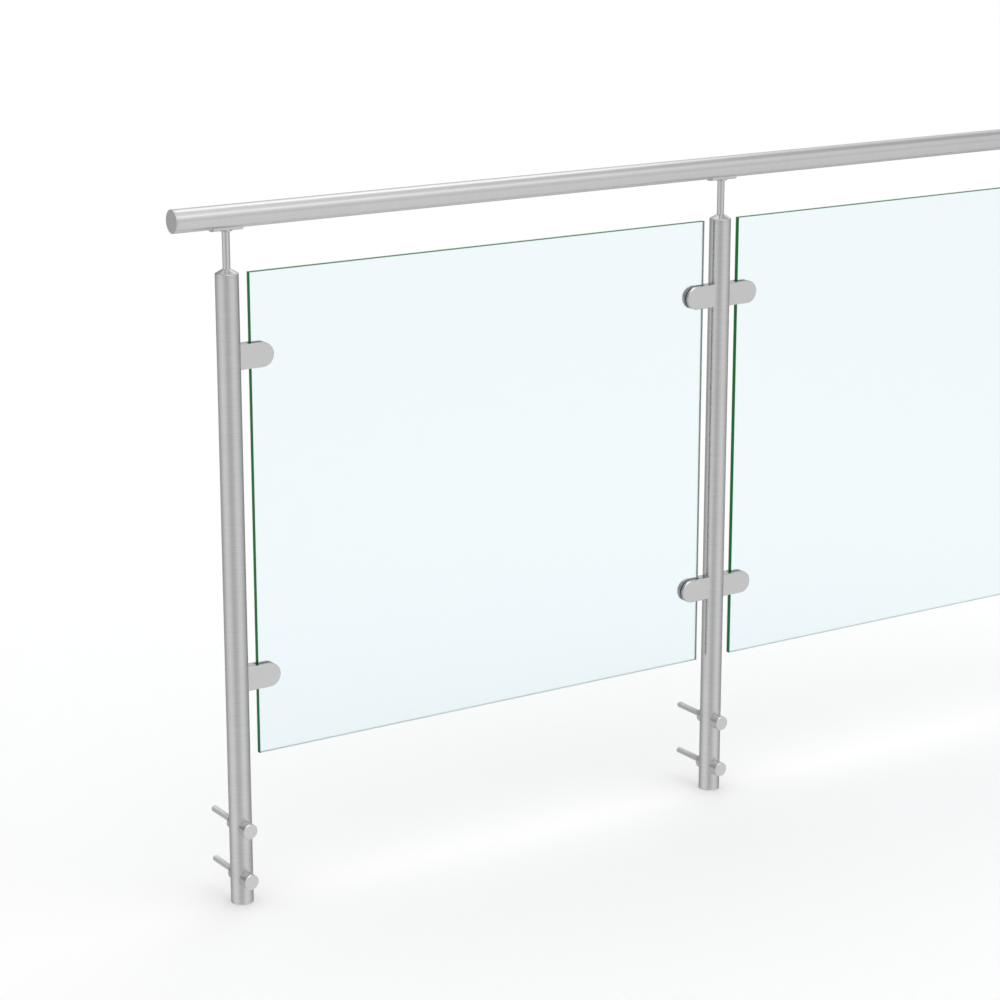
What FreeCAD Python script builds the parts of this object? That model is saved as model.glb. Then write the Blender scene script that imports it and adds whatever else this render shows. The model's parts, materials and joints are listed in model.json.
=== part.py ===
import FreeCAD, Part
import math
import os
import Sketcher
from enum import IntEnum

# Side-mounted glass balustrade: round posts, clamped panes and a round handrail, in millimetres.
# The origin is on the wall plane, midway between the two fixings of the middle post.
# X runs along the balustrade, Y into the wall and Z up.

# Driving sizes: alias, value and meaning
SIZES = (
    ("post_pitch", 1090.0, "between the axes of neighbouring posts"),
    ("post_dia", 42.4, "outside of a post tube"),
    ("post_wall", 2.0, "wall of a post tube"),
    ("post_over_pane", 2.0, "upper edge of a pane to the shoulder of the posts' top caps"),
    ("wall_gap", 5.0, "wall to the back of a post"),
    ("fixing_edge", 50.0, "foot of a post to its lower wall fixing"),
    ("fixing_pitch", 100.0, "between the two wall fixings of a post"),
    ("top_cap_rim", 6.0, "straight rim of a top cap"),
    ("top_cap_shoulder", 1.0, "bevel between rim and cone"),
    ("top_cap_cone", 7.2, "height of a top cap's cone"),
    ("top_cap_flat", 1.0, "width of the flat round the handrail stem, on the top of the cone"),
    ("top_cap_crown", 3.0, "crown of a top cap below its rim, inside the tube"),
    ("end_cap_disc", 2.5, "disc of a tube's end cap"),
    ("end_cap_bevel", 0.4, "bevel round that disc"),
    ("edge_break", 0.4, "bevel on the rims of tubes and caps where they meet"),
    ("plug_depth", 18.0, "part of a cap inside its tube"),
    ("plug_wall", 2.5, "wall of that part"),
    ("rail_dia", 42.4, "outside of the handrail tube"),
    ("rail_wall", 2.0, "wall of the handrail tube"),
    ("rail_rise", 92.8, "top of a post's cap to the axis of the handrail"),
    ("rail_overhang", 105.0, "end post's axis to the end of the handrail"),
    ("stem_dia", 14.0, "handrail stem"),
    ("stem_flare", 5.0, "radius of the flare at the stem's top"),
    ("stem_thread_dia", 8.0, "thread at the stem's foot"),
    ("stem_thread_length", 12.0, "length of that thread"),
    ("saddle_length", 59.0, "handrail saddle, along the handrail"),
    ("saddle_width", 24.0, "handrail saddle, across the handrail"),
    ("saddle_thickness", 3.5, "handrail saddle plate"),
    ("saddle_screw_pitch", 44.0, "between the two screws of a saddle"),
    ("saddle_screw_dia", 5.0, "saddle screw"),
    ("saddle_screw_head", 9.0, "head of a saddle screw"),
    ("saddle_screw_length", 14.0, "saddle screw, with its head"),
    ("saddle_screw_sink", 0.5, "saddle screw's head below the saddle's lowest line"),
    ("saddle_screw_socket", 3.0, "hexagon socket of a saddle screw, across flats"),
    ("pane_post_gap", 20.6, "post to the edge of a pane"),
    ("pane_foot_gap", 285.0, "foot of a post to the lower edge of a pane"),
    ("pane_height", 900.0, "glass pane"),
    ("pane_thickness", 10.0, "glass pane"),
    ("pane_arris", 0.8, "bevel along the edges of a pane"),
    ("clamp_inset", 150.0, "pane's upper or lower edge to the centre of a clamp"),
    ("clamp_length", 63.5, "post to the tip of a clamp"),
    ("clamp_height", 45.0, "clamp"),
    ("clamp_plate", 6.0, "each half of a clamp beside the glass"),
    ("clamp_bevel", 1.0, "bevel round the outer faces of a clamp"),
    ("clamp_pane_gap", 4.0, "clamp's block to the edge of the pane"),
    ("gasket_thickness", 1.5, "each gasket"),
    ("gasket_margin", 2.0, "clamp's outline to the gasket's outline"),
    ("cover_screw_offset", 10.0, "post to the axes of the cover screws"),
    ("cover_screw_pitch", 22.0, "between the two cover screws of a clamp"),
    ("cover_screw_dia", 5.0, "cover screw"),
    ("cover_screw_head", 10.0, "head of a cover screw"),
    ("cover_screw_length", 16.0, "cover screw, with its head"),
    ("cover_screw_socket", 3.0, "hexagon socket of a cover screw, across flats"),
    ("socket_depth", 2.0, "hexagon sockets of the countersunk screws"),
    ("post_screw_dia", 8.0, "screw that holds a clamp to its post"),
    ("post_screw_head", 13.0, "head of that screw"),
    ("post_screw_head_height", 8.0, "height of that head"),
    ("post_screw_length", 20.0, "that screw below its head"),
    ("post_screw_socket", 6.0, "hexagon socket of that screw, across flats"),
    ("post_screw_socket_depth", 4.0, "depth of that socket"),
    ("head_recess", 1.0, "top of that head below the block's face"),
    ("rivet_nut_dia", 11.0, "sleeve of the rivet nut in the post"),
    ("rivet_nut_length", 14.0, "sleeve of the rivet nut"),
    ("rivet_nut_flange", 1.5, "width of the rivet nut's flange round its sleeve"),
    ("rivet_nut_flange_height", 1.0, "thickness of that flange"),
    ("rivet_nut_bulge", 1.0, "width of the rivet nut's set bulge, behind the wall"),
    ("rivet_nut_bulge_height", 4.0, "length of that bulge"),
    ("anchor_dia", 12.0, "anchor stud in the wall"),
    ("anchor_depth", 80.0, "anchor stud beyond the wall plane"),
    ("anchor_tip", 1.5, "bevel of the anchor stud's tip"),
    ("anchor_shoulder", 1.0, "step down to the anchor stud's neck, through the post"),
    ("anchor_engagement", 11.0, "anchor stud in its cap nut"),
    ("cap_nut_dia", 29.0, "cap nut on the front of a post"),
    ("cap_nut_proud", 18.0, "front of a post to the face of the cap nut"),
    ("cap_nut_bevel", 0.8, "bevel round the face of the cap nut"),
    ("spacer_dia", 30.0, "spacer between post and wall"),
    ("seat_gap", 0.1, "between a curved seat and the tube in it"),
    ("plug_clearance", 0.1, "radial, between a plug and its tube"),
    ("thread_clearance", 0.05, "radial, between a thread and its hole"),
    ("hole_clearance", 0.5, "radial, between a bolt and a plain hole"),
)

# Sizes worked out from the driving sizes: alias and formula
DERIVED = (
    ("post_radius", "sizes.post_dia / 2"),
    ("post_seat", "post_radius + sizes.seat_gap"),
    ("post_y", "-(sizes.wall_gap + post_radius)"),
    ("foot_z", "-(sizes.fixing_edge + sizes.fixing_pitch / 2)"),
    ("post_height", "sizes.pane_foot_gap + sizes.pane_height + sizes.post_over_pane"),
    ("tube_length", "post_height - sizes.end_cap_disc - sizes.top_cap_rim"),
    ("tube_top", "foot_z + post_height - sizes.top_cap_rim"),
    ("stem_foot", "foot_z + post_height + sizes.top_cap_cone"),
    ("rail_radius", "sizes.rail_dia / 2"),
    ("rail_z", "stem_foot + sizes.rail_rise"),
    ("rail_half", "sizes.post_pitch + sizes.rail_overhang"),
    ("rail_tube_length", "2 * (rail_half - sizes.end_cap_disc)"),
    ("saddle_inner", "rail_radius + sizes.seat_gap"),
    ("saddle_outer", "saddle_inner + sizes.saddle_thickness"),
    ("saddle_screw_seat", "saddle_outer - sizes.saddle_screw_sink"),
    ("stem_radius", "sizes.stem_dia / 2"),
    ("stem_length", "sizes.rail_rise - saddle_outer - sizes.seat_gap"),
    ("flare_radius", "stem_radius + sizes.stem_flare"),
    ("pane_edge", "post_radius + sizes.pane_post_gap"),
    ("pane_width", "sizes.post_pitch - 2 * pane_edge"),
    ("pane_low", "foot_z + sizes.pane_foot_gap"),
    ("clamp_low", "pane_low + sizes.clamp_inset"),
    ("clamp_rise", "sizes.pane_height - 2 * sizes.clamp_inset"),
    ("clamp_low_on_post", "clamp_low - foot_z"),
    ("clamp_tip", "post_radius + sizes.clamp_length"),
    ("clamp_round", "sizes.clamp_height / 2"),
    ("clamp_slot_half", "sizes.pane_thickness / 2 + sizes.gasket_thickness"),
    ("clamp_half", "clamp_slot_half + sizes.clamp_plate"),
    ("clamp_block", "pane_edge - sizes.clamp_pane_gap"),
    ("cover_screw_u", "post_radius + sizes.cover_screw_offset"),
    ("post_screw_seat", "clamp_block - sizes.head_recess - sizes.post_screw_head_height"),
    ("rivet_sleeve", "sizes.rivet_nut_dia / 2"),
    ("rivet_flange", "rivet_sleeve + sizes.rivet_nut_flange"),
    ("rivet_bulge", "rivet_sleeve + sizes.rivet_nut_bulge"),
    ("rivet_bulge_top", "sqrt((post_radius - sizes.post_wall) ^ 2 - rivet_bulge ^ 2) - sizes.seat_gap"),
    ("anchor_radius", "sizes.anchor_dia / 2"),
    ("anchor_neck", "anchor_radius - sizes.anchor_shoulder"),
)

POSTS = {"left": -1, "middle": 0, "right": 1}
PANES = {"left": -1, "right": 1}


class Axis(IntEnum):
    """The axes of a sketch, by their numbers in a constraint."""

    ACROSS = -1
    UPRIGHT = -2


class Spot(IntEnum):
    """The points of a line or an arc, by their numbers in a constraint."""

    START = 1
    END = 2
    CENTRE = 3


# Lengths below this count as nothing when edges are picked
NEGLIGIBLE = 1e-6

doc = FreeCAD.newDocument("glass_balustrade")


def make_sheet(name, rows, prefix=""):
    """A sheet with one row for each size: its meaning or alias, and its value or formula."""
    sheet = doc.addObject("Spreadsheet::Sheet", name)
    for row, (alias, value, meaning) in enumerate(rows, start=1):
        sheet.set(f"A{row}", meaning)
        sheet.set(f"B{row}", prefix + str(value))
        sheet.setAlias(f"B{row}", alias)
    doc.recompute()
    return sheet


sizes = make_sheet("sizes", SIZES)
derived = make_sheet("derived", [(alias, formula, alias) for alias, formula in DERIVED], prefix="=")


def number(text):
    """The present value of an expression."""
    return float(derived.evalExpression(text))


def make_body(label):
    """An empty body. Its label names the sub-part."""
    body = doc.addObject("PartDesign::Body", label)
    body.Label = label
    return body


def origin_feature(body, role):
    """One of the body's own origin planes or axes."""
    return next(item for item in body.Origin.OriginFeatures if item.Role == role)


def make_sketch(body, role, name, along="0"):
    """A sketch on an origin plane, or parallel to it at a distance along the plane's own axis."""
    sketch = body.newObject("Sketcher::SketchObject", name)
    sketch.AttachmentSupport = [(origin_feature(body, role), "")]
    sketch.MapMode = "FlatFace"
    facing = "-" if role == "XZ_Plane" else ""
    sketch.setExpression("AttachmentOffset.Base.z", f"{facing}({along})")
    return sketch


def locate(sketch, geometry, end, x, y):
    """Ties a point of a sketch to its coordinates. A coordinate of None is left free."""
    for kind, axis, text in (("DistanceX", Axis.UPRIGHT, x), ("DistanceY", Axis.ACROSS, y)):
        if text is None:
            continue
        if text == "0":
            sketch.addConstraint(Sketcher.Constraint("PointOnObject", geometry, end, axis))
            continue
        rule = Sketcher.Constraint(kind, Axis.ACROSS, Spot.START, geometry, end, number(text))
        sketch.setExpression(f"Constraints[{sketch.addConstraint(rule)}]", text)


def draw_circle(sketch, radius, x="0", y="0"):
    """A circle with its centre and radius given by expressions."""
    centre = FreeCAD.Vector(number(x), number(y), 0)
    circle = sketch.addGeometry(Part.Circle(centre, FreeCAD.Vector(0, 0, 1), number(radius)), False)
    locate(sketch, circle, Spot.CENTRE, x, y)
    rule = sketch.addConstraint(Sketcher.Constraint("Radius", circle, number(radius)))
    sketch.setExpression(f"Constraints[{rule}]", radius)


def draw_outline(sketch, points, arcs=None):
    """A closed outline through points, each a pair of expressions.

    arcs gives, by the number of a side, the centre of a round side and its way: 1 is anticlockwise.
    """
    arcs = arcs or {}
    corners = [FreeCAD.Vector(number(x), number(y), 0) for x, y in points]
    sides = []
    for side, start in enumerate(corners):
        stop = corners[(side + 1) % len(corners)]
        if side not in arcs:
            line = sketch.addGeometry(Part.LineSegment(start, stop), False)
            sides.append((line, Spot.START, Spot.END))
            continue
        x, y, way = arcs[side]
        centre = FreeCAD.Vector(number(x), number(y), 0)
        angles = [math.atan2(spot.y - centre.y, spot.x - centre.x) for spot in (start, stop)[::way]]
        circle = Part.Circle(centre, FreeCAD.Vector(0, 0, 1), (start - centre).Length)
        arc = sketch.addGeometry(Part.ArcOfCircle(circle, *angles), False)
        sides.append((arc, *(Spot.START, Spot.END)[::way]))
    for side, (x, y) in enumerate(points):
        geometry, start, _ = sides[side]
        before, _, stop = sides[side - 1]
        sketch.addConstraint(Sketcher.Constraint("Coincident", before, stop, geometry, start))
        locate(sketch, geometry, start, x, y)
    for side, (x, y, _) in arcs.items():
        chord = corners[(side + 1) % len(corners)] - corners[side]
        level = abs(chord.x) > abs(chord.y)
        locate(sketch, sides[side][0], Spot.CENTRE, None if level else x, y if level else None)


def draw_rectangle(sketch, left, right, low, high):
    """A rectangle between four expressions."""
    draw_outline(sketch, [(left, low), (right, low), (right, high), (left, high)])


def draw_hexagon(sketch, flats, x="0", y="0"):
    """A hexagon of the given width across flats, with two sides upright."""
    side = f"{flats} / sqrt(3)"
    steps = (("-1/2", "-1/2"), ("0", "-1"), ("1/2", "-1/2"), ("1/2", "1/2"), ("0", "1"), ("-1/2", "1/2"))
    draw_outline(sketch, [(f"{x} + {across} * {flats}", f"{y} + {up} * {side}") for across, up in steps])


def extrude(kind, sketch, length, side="One side", reverse=False):
    """A Pad along the sketch's normal, or a Pocket against it."""
    body = sketch.getParentGeoFeatureGroup()
    feature = body.newObject(f"PartDesign::{kind}", f"{sketch.Name}_{kind}")
    feature.Profile = sketch
    feature.SideType = side
    feature.Reversed = reverse
    feature.setExpression("Length", length)
    return feature


def turn(kind, sketch, axis):
    """A full Revolution, or a Groove, about an axis of the sketch."""
    body = sketch.getParentGeoFeatureGroup()
    feature = body.newObject(f"PartDesign::{kind}", f"{sketch.Name}_{kind}")
    feature.Profile = sketch
    feature.ReferenceAxis = (sketch, [axis])
    return feature


def bevel(body, size, wanted):
    """A Chamfer on each edge of the body that is wanted."""
    doc.recompute()
    base = body.Tip
    edges = [f"Edge{place}" for place, edge in enumerate(base.Shape.Edges, start=1) if wanted(edge)]
    feature = body.newObject("PartDesign::Chamfer", f"{body.Name}_bevel{len(body.Group)}")
    feature.Base = (base, edges)
    feature.setExpression("Size", size)
    return feature


def break_rims(body, radius):
    """Bevels the outer rims of a tube."""
    outside = number(radius)
    bevel(body, "sizes.edge_break",
          lambda edge: isinstance(edge.Curve, Part.Circle) and abs(edge.Curve.Radius - outside) < NEGLIGIBLE)


def lies_at_y(edge, y):
    """Whether an edge lies in the plane at y."""
    return abs(edge.BoundBox.YMin - y) < NEGLIGIBLE and abs(edge.BoundBox.YMax - y) < NEGLIGIBLE


def repeat(body, steps):
    """Repeats the whole body along its own axes. Each step is an axis, a count and an overall length."""
    doc.recompute()
    pattern = body.newObject("PartDesign::LinearPattern", f"{body.Name}_row{len(body.Group)}")
    pattern.TransformMode = "Whole shape"
    for suffix, (axis, count, length) in zip(("", "2"), steps):
        setattr(pattern, f"Direction{suffix}", (origin_feature(body, axis), [""]))
        setattr(pattern, f"Occurrences{suffix}", count)
        pattern.setExpression(f"Length{suffix}", length)
    body.Tip = pattern


def mirror(body, role):
    """Adds the body's own mirror image in an origin plane."""
    doc.recompute()
    image = body.newObject("PartDesign::Mirrored", f"{body.Name}_image{len(body.Group)}")
    image.TransformMode = "Whole shape"
    image.MirrorPlane = (origin_feature(body, role), [""])
    body.Tip = image


def place(body, x="0", y="0", z="0", axis=(0, 0, 1), angle=0):
    """Moves a finished body to its place, after a turn about one of the frame's axes."""
    body.Placement = FreeCAD.Placement(FreeCAD.Vector(), FreeCAD.Rotation(FreeCAD.Vector(*axis), angle))
    for name, text in zip("xyz", (x, y, z)):
        body.setExpression(f"Placement.Base.{name}", text)
    return body


def post_x(post):
    """Where a post stands along the balustrade."""
    return f"{POSTS[post]} * sizes.post_pitch"


def post_tube(post):
    """Post tube, with holes for the wall fixings and for the rivet nuts of its clamps."""
    body = make_body(f"{post}_post_tube")
    ring = make_sketch(body, "XY_Plane", f"{post}_tube_ring", "sizes.end_cap_disc")
    draw_circle(ring, "derived.post_radius")
    draw_circle(ring, "derived.post_radius - sizes.post_wall")
    extrude("Pad", ring, "derived.tube_length")
    break_rims(body, "derived.post_radius")
    fixings = make_sketch(body, "XZ_Plane", f"{post}_fixing_holes")
    for height in ("sizes.fixing_edge", "sizes.fixing_edge + sizes.fixing_pitch"):
        draw_circle(fixings, "derived.anchor_neck + sizes.hole_clearance", y=height)
    extrude("Pocket", fixings, "2 * sizes.post_dia", side="Symmetric")
    clamps = make_sketch(body, "YZ_Plane", f"{post}_clamp_holes")
    for height in ("derived.clamp_low_on_post", "derived.clamp_low_on_post + derived.clamp_rise"):
        draw_circle(clamps, "derived.rivet_sleeve + sizes.plug_clearance", y=height)
    if post == "middle":
        extrude("Pocket", clamps, "2 * sizes.post_dia", side="Symmetric")
    else:
        extrude("Pocket", clamps, "sizes.post_dia", reverse=post == "left")
    return place(body, post_x(post), "derived.post_y", "derived.foot_z")


def end_cap(label, tube):
    """Flat end cap of a tube: a bevelled disc with a hollow plug. Its disc faces down."""
    body = make_body(label)
    outside = f"sizes.{tube}_dia / 2"
    plug = f"{outside} - sizes.{tube}_wall - sizes.plug_clearance"
    section = make_sketch(body, "XZ_Plane", f"{label}_section")
    draw_outline(section, [
        ("0", "0"),
        (f"{outside} - sizes.end_cap_bevel", "0"),
        (outside, "sizes.end_cap_bevel"),
        (outside, "sizes.end_cap_disc - sizes.edge_break"),
        (f"{outside} - sizes.edge_break", "sizes.end_cap_disc"),
        (plug, "sizes.end_cap_disc"),
        (plug, "sizes.end_cap_disc + sizes.plug_depth"),
        (f"{plug} - sizes.plug_wall", "sizes.end_cap_disc + sizes.plug_depth"),
        (f"{plug} - sizes.plug_wall", "sizes.end_cap_disc"),
        ("0", "sizes.end_cap_disc"),
    ])
    turn("Revolution", section, "V_Axis")
    return body


def top_cap(post):
    """Conical cap on a post, with a hollow plug below and a threaded hole for the handrail stem."""
    body = make_body(f"{post}_post_top_cap")
    plug = "derived.post_radius - sizes.post_wall - sizes.plug_clearance"
    hole = "sizes.stem_thread_dia / 2 + sizes.thread_clearance"
    peak = "sizes.top_cap_rim + sizes.top_cap_cone"
    section = make_sketch(body, "XZ_Plane", f"{post}_top_cap_section")
    draw_outline(section, [
        (hole, peak),
        (hole, "-sizes.top_cap_crown"),
        (f"{plug} - sizes.plug_wall", "-sizes.top_cap_crown"),
        (f"{plug} - sizes.plug_wall", "-sizes.plug_depth"),
        (plug, "-sizes.plug_depth"),
        (plug, "0"),
        ("derived.post_radius - sizes.edge_break", "0"),
        ("derived.post_radius", "sizes.edge_break"),
        ("derived.post_radius", "sizes.top_cap_rim - sizes.top_cap_shoulder"),
        ("derived.post_radius - sizes.top_cap_shoulder", "sizes.top_cap_rim"),
        ("derived.stem_radius + sizes.top_cap_flat", peak),
    ])
    turn("Revolution", section, "V_Axis")
    return place(body, post_x(post), "derived.post_y", "derived.tube_top")


def handrail_stem(post):
    """Rod from the post cap to the saddle: threaded foot, flared head hollowed to the saddle's curve."""
    body = make_body(f"{post}_handrail_stem")
    flare = "derived.stem_length - sizes.stem_flare"
    head = "derived.stem_length + derived.flare_radius"
    section = make_sketch(body, "XZ_Plane", f"{post}_stem_section")
    draw_outline(section, [
        ("0", "-sizes.stem_thread_length"),
        ("sizes.stem_thread_dia / 2", "-sizes.stem_thread_length"),
        ("sizes.stem_thread_dia / 2", "0"),
        ("derived.stem_radius", "0"),
        ("derived.stem_radius", flare),
        ("derived.flare_radius", "derived.stem_length"),
        ("derived.flare_radius", head),
        ("0", head),
    ], arcs={4: ("derived.flare_radius", flare, -1)})
    turn("Revolution", section, "V_Axis")
    seat = make_sketch(body, "YZ_Plane", f"{post}_stem_seat")
    draw_circle(seat, "derived.saddle_outer + sizes.seat_gap", y="sizes.rail_rise")
    extrude("Pocket", seat, "4 * derived.flare_radius", side="Symmetric")
    return place(body, post_x(post), "derived.post_y", "derived.stem_foot")


def handrail_saddle(post):
    """Plate under the handrail, rolled to its curve, with two countersunk holes."""
    body = make_body(f"{post}_handrail_saddle")
    half = "sizes.saddle_width / 2"
    inner = f"-sqrt(derived.saddle_inner ^ 2 - ({half}) ^ 2)"
    outer = f"-sqrt(derived.saddle_outer ^ 2 - ({half}) ^ 2)"
    section = make_sketch(body, "YZ_Plane", f"{post}_saddle_section")
    draw_outline(section, [(f"-{half}", inner), (f"-{half}", outer), (half, outer), (half, inner)],
                 arcs={1: ("0", "0", 1), 3: ("0", "0", -1)})
    extrude("Pad", section, "sizes.saddle_length", side="Symmetric")
    hole = "sizes.saddle_screw_dia / 2 + sizes.hole_clearance / 2"
    head = "sizes.saddle_screw_head / 2 + sizes.hole_clearance / 2"
    for side in (-1, 1):
        cut = make_sketch(body, "XZ_Plane", f"{post}_saddle_hole{side + 1}")
        cut.setExpression("AttachmentOffset.Base.x", f"{side} * sizes.saddle_screw_pitch / 2")
        draw_outline(cut, [
            ("0", "0"),
            (hole, "0"),
            (hole, f"-derived.saddle_screw_seat + {head} - ({hole})"),
            (head, "-derived.saddle_screw_seat"),
            (head, "-derived.saddle_outer - sizes.saddle_thickness"),
            ("0", "-derived.saddle_outer - sizes.saddle_thickness"),
        ])
        turn("Groove", cut, "V_Axis")
    return place(body, post_x(post), "derived.post_y", "derived.rail_z")


def handrail_tube():
    """Handrail tube, with holes in its underside for the saddle screws."""
    body = make_body("handrail_tube")
    ring = make_sketch(body, "YZ_Plane", "rail_ring")
    draw_circle(ring, "derived.rail_radius")
    draw_circle(ring, "derived.rail_radius - sizes.rail_wall")
    extrude("Pad", ring, "derived.rail_tube_length", side="Symmetric")
    break_rims(body, "derived.rail_radius")
    holes = make_sketch(body, "XY_Plane", "rail_holes")
    for post in POSTS:
        for side in (-1, 1):
            across = f"{post_x(post)} + {side} * sizes.saddle_screw_pitch / 2"
            draw_circle(holes, "sizes.saddle_screw_dia / 2 + sizes.thread_clearance", x=across)
    extrude("Pocket", holes, "sizes.rail_dia")
    return place(body, "0", "derived.post_y", "derived.rail_z")


def pane(side):
    """Glass pane between two posts, with a bevel along every edge of its two faces."""
    body = make_body(f"{side}_pane")
    face = make_sketch(body, "XZ_Plane", f"{side}_pane_face")
    draw_rectangle(face, "-derived.pane_width / 2", "derived.pane_width / 2", "0", "sizes.pane_height")
    extrude("Pad", face, "sizes.pane_thickness", side="Symmetric")
    bevel(body, "sizes.pane_arris", lambda edge: edge.BoundBox.YLength < NEGLIGIBLE)
    return place(body, f"{PANES[side]} * sizes.post_pitch / 2", "derived.post_y", "derived.pane_low")


def draw_clamp(sketch, start, margin="0"):
    """The D outline of a clamp, from a start near the post to its round tip, less a margin."""
    half = f"(derived.clamp_round - {margin})"
    middle = "derived.clamp_tip - derived.clamp_round"
    draw_outline(sketch, [(start, f"-{half}"), (middle, f"-{half}"), (middle, half), (start, half)],
                 arcs={1: (middle, "0", 1)})


def cut_post_seat(body, label):
    """Hollows a clamp's end to the curve of the post, and clears the flange of the rivet nut there."""
    seat = make_sketch(body, "XY_Plane", f"{label}_seat")
    draw_circle(seat, "derived.post_seat")
    extrude("Pocket", seat, "2 * sizes.clamp_height", side="Symmetric")
    relief = make_sketch(body, "YZ_Plane", f"{label}_relief",
                         "derived.post_seat + sizes.rivet_nut_flange_height")
    draw_circle(relief, "derived.rivet_flange + sizes.hole_clearance")
    extrude("Pocket", relief, "derived.post_radius")


def bevel_clamp_face(body, y):
    """Bevels the outer face of a clamp all round, apart from its end at the post."""
    bevel(body, "sizes.clamp_bevel",
          lambda edge: lies_at_y(edge, y) and edge.BoundBox.XLength > NEGLIGIBLE)


def draw_cover_screws(sketch, radius):
    """The circles of the two cover screws of a clamp."""
    for side in (-1, 1):
        draw_circle(sketch, radius, "derived.cover_screw_u", f"{side} * sizes.cover_screw_pitch / 2")


def clamp_body(label):
    """Front half of a clamp: a block that seats on the post, with a plate in front of the glass."""
    body = make_body(label)
    outline = make_sketch(body, "XZ_Plane", f"{label}_outline", "-derived.clamp_half")
    draw_clamp(outline, "derived.post_radius / 2")
    extrude("Pad", outline, "derived.clamp_half + derived.clamp_slot_half", reverse=True)
    slot = make_sketch(body, "XZ_Plane", f"{label}_slot", "-derived.clamp_slot_half")
    draw_rectangle(slot, "derived.clamp_block", "derived.clamp_tip + sizes.clamp_plate",
                   "-sizes.clamp_height", "sizes.clamp_height")
    extrude("Pocket", slot, "2 * derived.clamp_slot_half")
    cut_post_seat(body, label)
    bevel_clamp_face(body, number("-derived.clamp_half"))
    threads = make_sketch(body, "XZ_Plane", f"{label}_threads", "derived.clamp_slot_half")
    draw_cover_screws(threads, "sizes.cover_screw_dia / 2 + sizes.thread_clearance")
    extrude("Pocket", threads, "sizes.cover_screw_length - sizes.clamp_plate + sizes.hole_clearance",
            reverse=True)
    for name, radius, along, reverse in (
        ("bore", "sizes.post_screw_dia / 2 + sizes.hole_clearance", "derived.clamp_block", False),
        ("recess", "sizes.post_screw_head / 2 + sizes.hole_clearance", "derived.post_screw_seat", True),
    ):
        hole = make_sketch(body, "YZ_Plane", f"{label}_{name}", along)
        draw_circle(hole, radius)
        extrude("Pocket", hole, "derived.clamp_block", reverse=reverse)
    return body


def clamp_cover(label):
    """Rear half of a clamp: a plate with two countersunk holes."""
    body = make_body(label)
    outline = make_sketch(body, "XZ_Plane", f"{label}_outline", "derived.clamp_slot_half")
    draw_clamp(outline, "derived.post_radius / 2")
    extrude("Pad", outline, "sizes.clamp_plate", reverse=True)
    cut_post_seat(body, label)
    outside = number("derived.clamp_half")
    bevel_clamp_face(body, outside)
    holes = make_sketch(body, "XZ_Plane", f"{label}_holes")
    draw_cover_screws(holes, "sizes.cover_screw_dia / 2 + sizes.hole_clearance / 2")
    extrude("Pocket", holes, "2 * derived.clamp_half")
    bevel(body, "(sizes.cover_screw_head - sizes.cover_screw_dia) / 2",
          lambda edge: lies_at_y(edge, outside) and edge.isClosed())
    return body


def gasket(label, y):
    """Rubber sheet between the glass and one half of a clamp, from y towards the wall."""
    body = make_body(label)
    outline = make_sketch(body, "XZ_Plane", f"{label}_outline", y)
    draw_clamp(outline, "derived.pane_edge", "sizes.gasket_margin")
    extrude("Pad", outline, "sizes.gasket_thickness", reverse=True)
    return body


def clamp(side, end, level):
    """The pieces of one clamp. Those at a pane's right end are turned over, with the cover still behind."""
    label = f"{side}_pane_{end}_{level}"
    reach = {"left": -1, "right": 1}[end]
    pieces = (
        clamp_body(f"{label}_clamp_body"),
        clamp_cover(f"{label}_clamp_cover"),
        gasket(f"{label}_front_gasket", "-derived.clamp_slot_half"),
        gasket(f"{label}_rear_gasket", "sizes.pane_thickness / 2"),
    )
    x = f"{PANES[side] + reach} * sizes.post_pitch / 2"
    z = "derived.clamp_low" + (" + derived.clamp_rise" if level == "upper" else "")
    return [place(piece, x, "derived.post_y", z, (0, 1, 0), 180 if end == "right" else 0) for piece in pieces]


def at_each_clamp(body):
    """Repeats a fastener, made at the lower left clamp of the left pane, at all the clamps."""
    mirror(body, "YZ_Plane")
    repeat(body, [("X_Axis", 2, "sizes.post_pitch"), ("Z_Axis", 2, "derived.clamp_rise")])
    return place(body, "-sizes.post_pitch / 2", "derived.post_y", "derived.clamp_low")


def from_pane_middle(distance):
    """Where a distance from the post's axis lies, seen from the middle of the pane."""
    return f"{distance} - sizes.post_pitch / 2"


def clamp_cover_screws():
    """Countersunk screws with hexagon sockets, flush with the backs of the clamps."""
    body = make_body("clamp_cover_screws")
    section = make_sketch(body, "YZ_Plane", "cover_screw_section", from_pane_middle("derived.cover_screw_u"))
    section.setExpression("AttachmentOffset.Base.y", "-sizes.cover_screw_pitch / 2")
    head = "sizes.cover_screw_head / 2"
    shank = "sizes.cover_screw_dia / 2"
    draw_outline(section, [
        ("derived.clamp_half", "0"),
        ("derived.clamp_half", head),
        (f"derived.clamp_half - ({head} - {shank})", shank),
        ("derived.clamp_half - sizes.cover_screw_length", shank),
        ("derived.clamp_half - sizes.cover_screw_length", "0"),
    ])
    turn("Revolution", section, "H_Axis")
    socket = make_sketch(body, "XZ_Plane", "cover_screw_hexagon", "derived.clamp_half")
    draw_hexagon(socket, "sizes.cover_screw_socket", from_pane_middle("derived.cover_screw_u"),
                 "-sizes.cover_screw_pitch / 2")
    extrude("Pocket", socket, "sizes.socket_depth", reverse=True)
    repeat(body, [("Z_Axis", 2, "sizes.cover_screw_pitch")])
    return at_each_clamp(body)


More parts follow.
